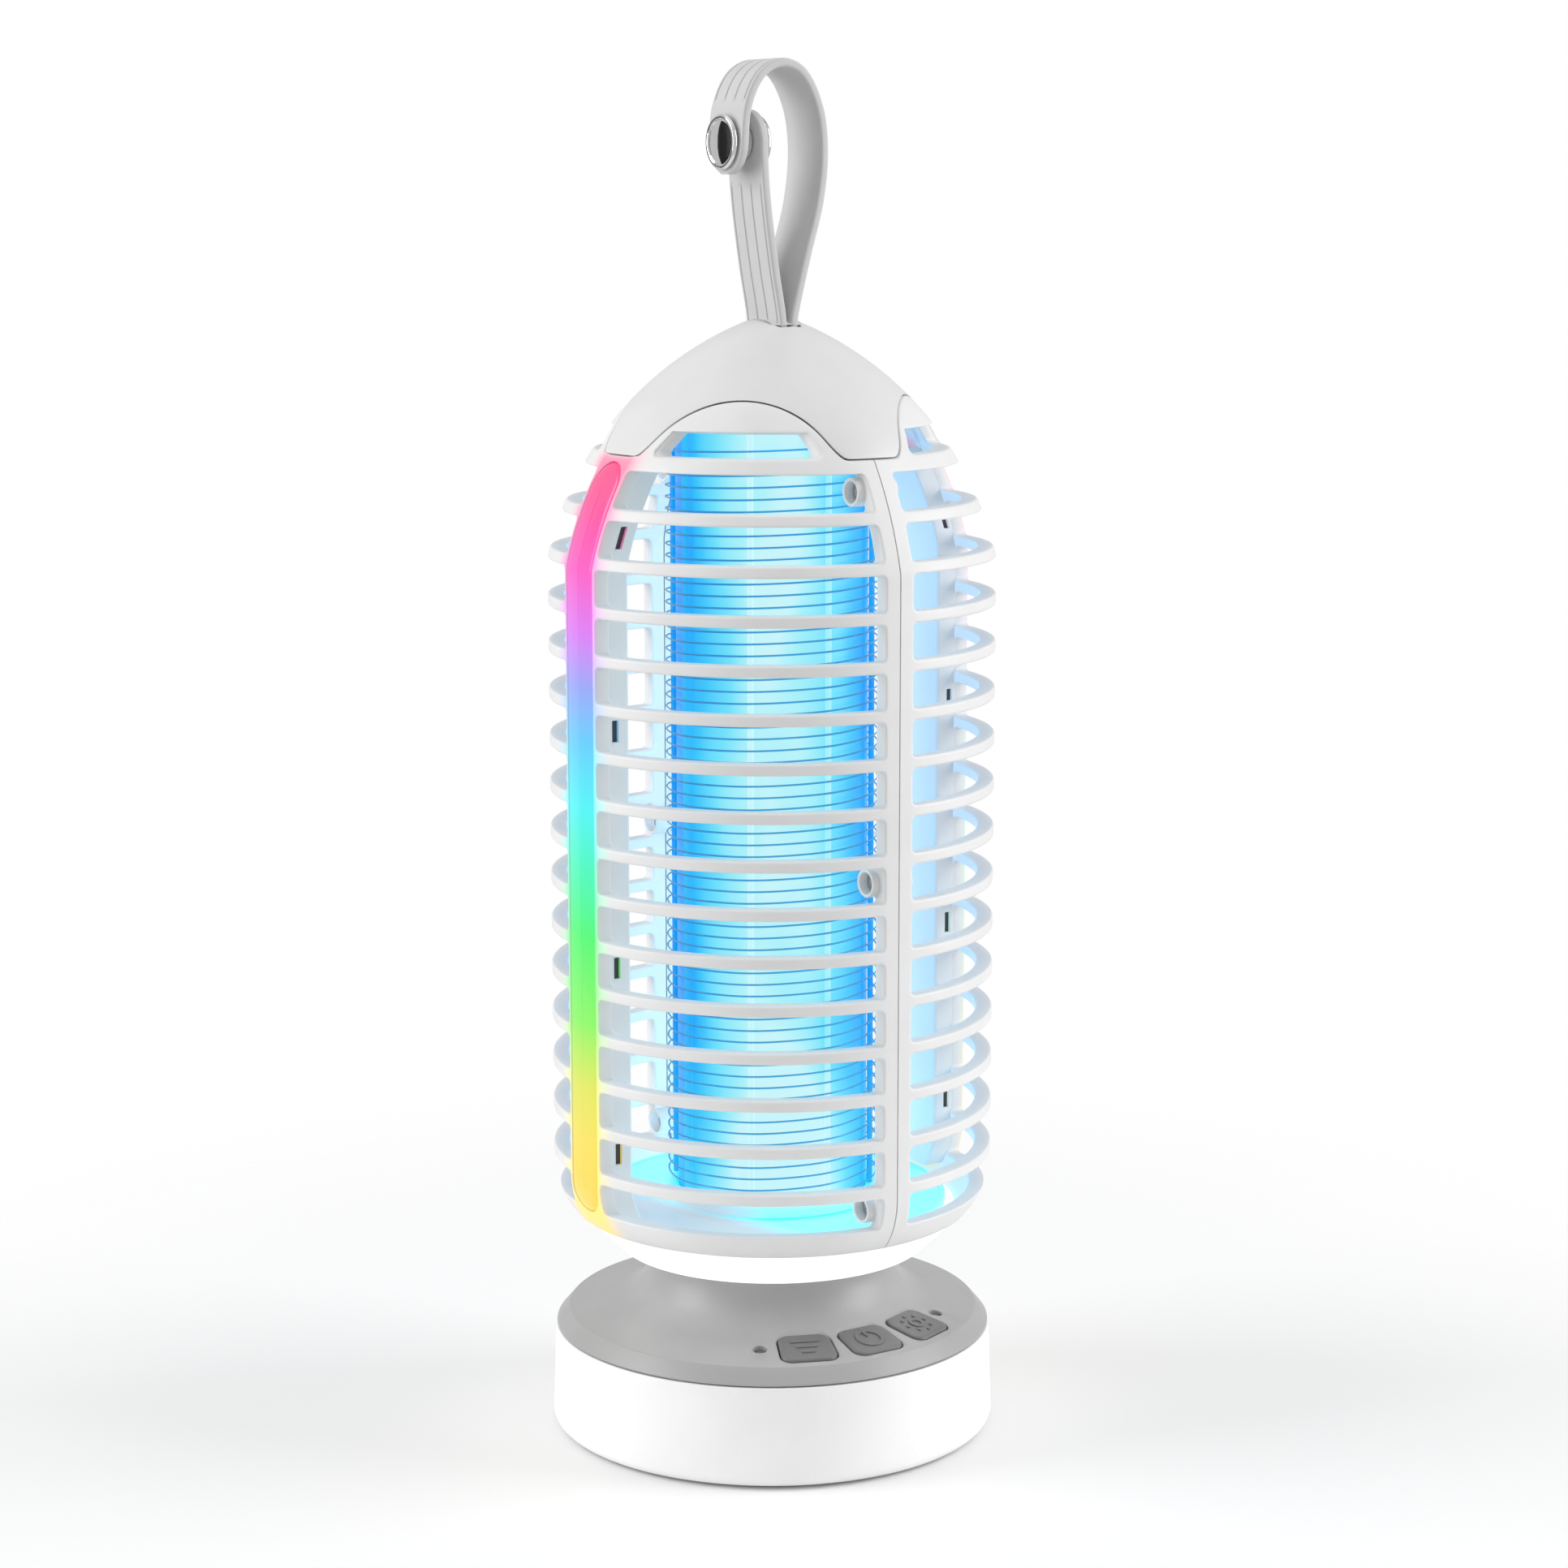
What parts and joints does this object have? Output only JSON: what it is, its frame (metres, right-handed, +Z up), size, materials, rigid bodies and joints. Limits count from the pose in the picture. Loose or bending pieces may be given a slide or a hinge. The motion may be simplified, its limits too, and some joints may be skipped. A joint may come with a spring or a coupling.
{
  "type": "electric bug zapper",
  "caption": "Rechargeable bug zapper: louvred cage round a blue lamp and wire grid, lantern base with three keys, light columns, domed cap, snap strap.",
  "frame": {"origin": "middle of the rubber foot pad's underside, on the standing surface", "axes": "+Z up the body's axis; -Y is the front, with the power key and one cage seam; the two light columns are at -X and +X"},
  "size_m": [0.1056, 0.1056, 0.3213],
  "materials": {
    "base_shell": "smooth white ABS, soft gloss",
    "foot_rubber": "matt black rubber",
    "deck": "mid grey, fine satin",
    "button": "dark grey, fine satin",
    "smoked_lens": "smoked clear plastic",
    "lantern_diffuser": "opal white diffuser, lit from inside",
    "cage": "light grey satin ABS",
    "cap": "light grey satin ABS",
    "silicone": "matt grey silicone",
    "chrome": "polished",
    "screw_steel": "plain zinc steel",
    "grid_steel": "bright stainless wire",
    "lamp_sleeve": "blue diffusing sleeve, lit from inside",
    "lamp_board": "lamp board with blue diodes, lit",
    "inner_plastic": "pale satin plastic",
    "mood_light": "translucent light pipe, lit in changing colours",
    "circuit_board": "green solder mask",
    "switch_body": "black moulded plastic",
    "potting": "black potting compound",
    "battery_wrap": "blue shrink wrap"
  },
  "bodies": {
    "body": {"base_cup": "base_shell", "bottom_cover": "base_shell", "foot_pad": "foot_rubber", "control_deck": "deck", "status_lens": "smoked_lens", "light_sensor_lens": "smoked_lens", "lantern_bowl": "lantern_diffuser", "cage_half_left": "cage", "cage_half_right": "cage", "top_cap": "cap", "strap": "silicone", "snap_back_cap": "chrome", "base_screw_1": "screw_steel", "base_screw_2": "screw_steel", "base_screw_3": "screw_steel", "base_screw_4": "screw_steel", "cage_screw_1": "screw_steel", "cage_screw_2": "screw_steel", "cage_screw_3": "screw_steel", "cage_screw_4": "screw_steel", "cage_screw_5": "screw_steel", "cage_screw_6": "screw_steel", "strap_pin": "screw_steel", "charging_port": "screw_steel", "grid_wire_hot": "grid_steel", "grid_wire_return": "grid_steel", "grid_post_1": "grid_steel", "grid_post_2": "grid_steel", "grid_post_3": "grid_steel", "grid_post_4": "grid_steel", "grid_post_5": "grid_steel", "grid_post_6": "grid_steel", "grid_post_7": "grid_steel", "grid_post_8": "grid_steel", "lamp_sleeve": "lamp_sleeve", "lamp_board": "lamp_board", "chamber_floor": "inner_plastic", "lamp_foot": "inner_plastic", "lamp_cap": "inner_plastic", "grid_lower_ring": "inner_plastic", "grid_upper_ring": "inner_plastic", "light_pipe_left": "mood_light", "light_pipe_right": "mood_light", "main_board": "circuit_board", "lantern_board": "circuit_board", "light_strip_left": "circuit_board", "light_strip_right": "circuit_board", "mode_switch": "switch_body", "power_switch": "switch_body", "auto_switch": "switch_body", "high_voltage_module": "potting", "battery_pack": "battery_wrap", "storage_capacitor": "battery_wrap"},
    "mode_key": {"mode_button": "button"},
    "power_key": {"power_button": "button"},
    "auto_key": {"auto_button": "button"},
    "strap_end": {"strap_free_end": "silicone", "snap_front_cap": "chrome", "snap_socket": "screw_steel"},
    "port_flap": {"port_cover": "silicone"}
  },
  "joints": [
    {"name": "mode_press", "type": "slide", "parent": "body", "child": "mode_key", "axis": [0, 0, -1], "range_m": [0, 0.0008], "stiffness_N_per_m": 900, "springref_m": -0.0006},
    {"name": "power_press", "type": "slide", "parent": "body", "child": "power_key", "axis": [0, 0, -1], "range_m": [0, 0.0008], "stiffness_N_per_m": 900, "springref_m": -0.0006},
    {"name": "auto_press", "type": "slide", "parent": "body", "child": "auto_key", "axis": [0, 0, -1], "range_m": [0, 0.0008], "stiffness_N_per_m": 900, "springref_m": -0.0006},
    {"name": "strap_unsnap", "type": "hinge", "parent": "body", "child": "strap_end", "pos_m": [-0.01016, 0, 0.31467], "axis": [0, 1, 0], "range_deg": [0, 70]},
    {"name": "port_cover_hinge", "type": "hinge", "parent": "body", "child": "port_flap", "pos_m": [0, 0.0516, 0.0142], "axis": [-1, 0, 0], "range_deg": [0, 100]}
  ]
}
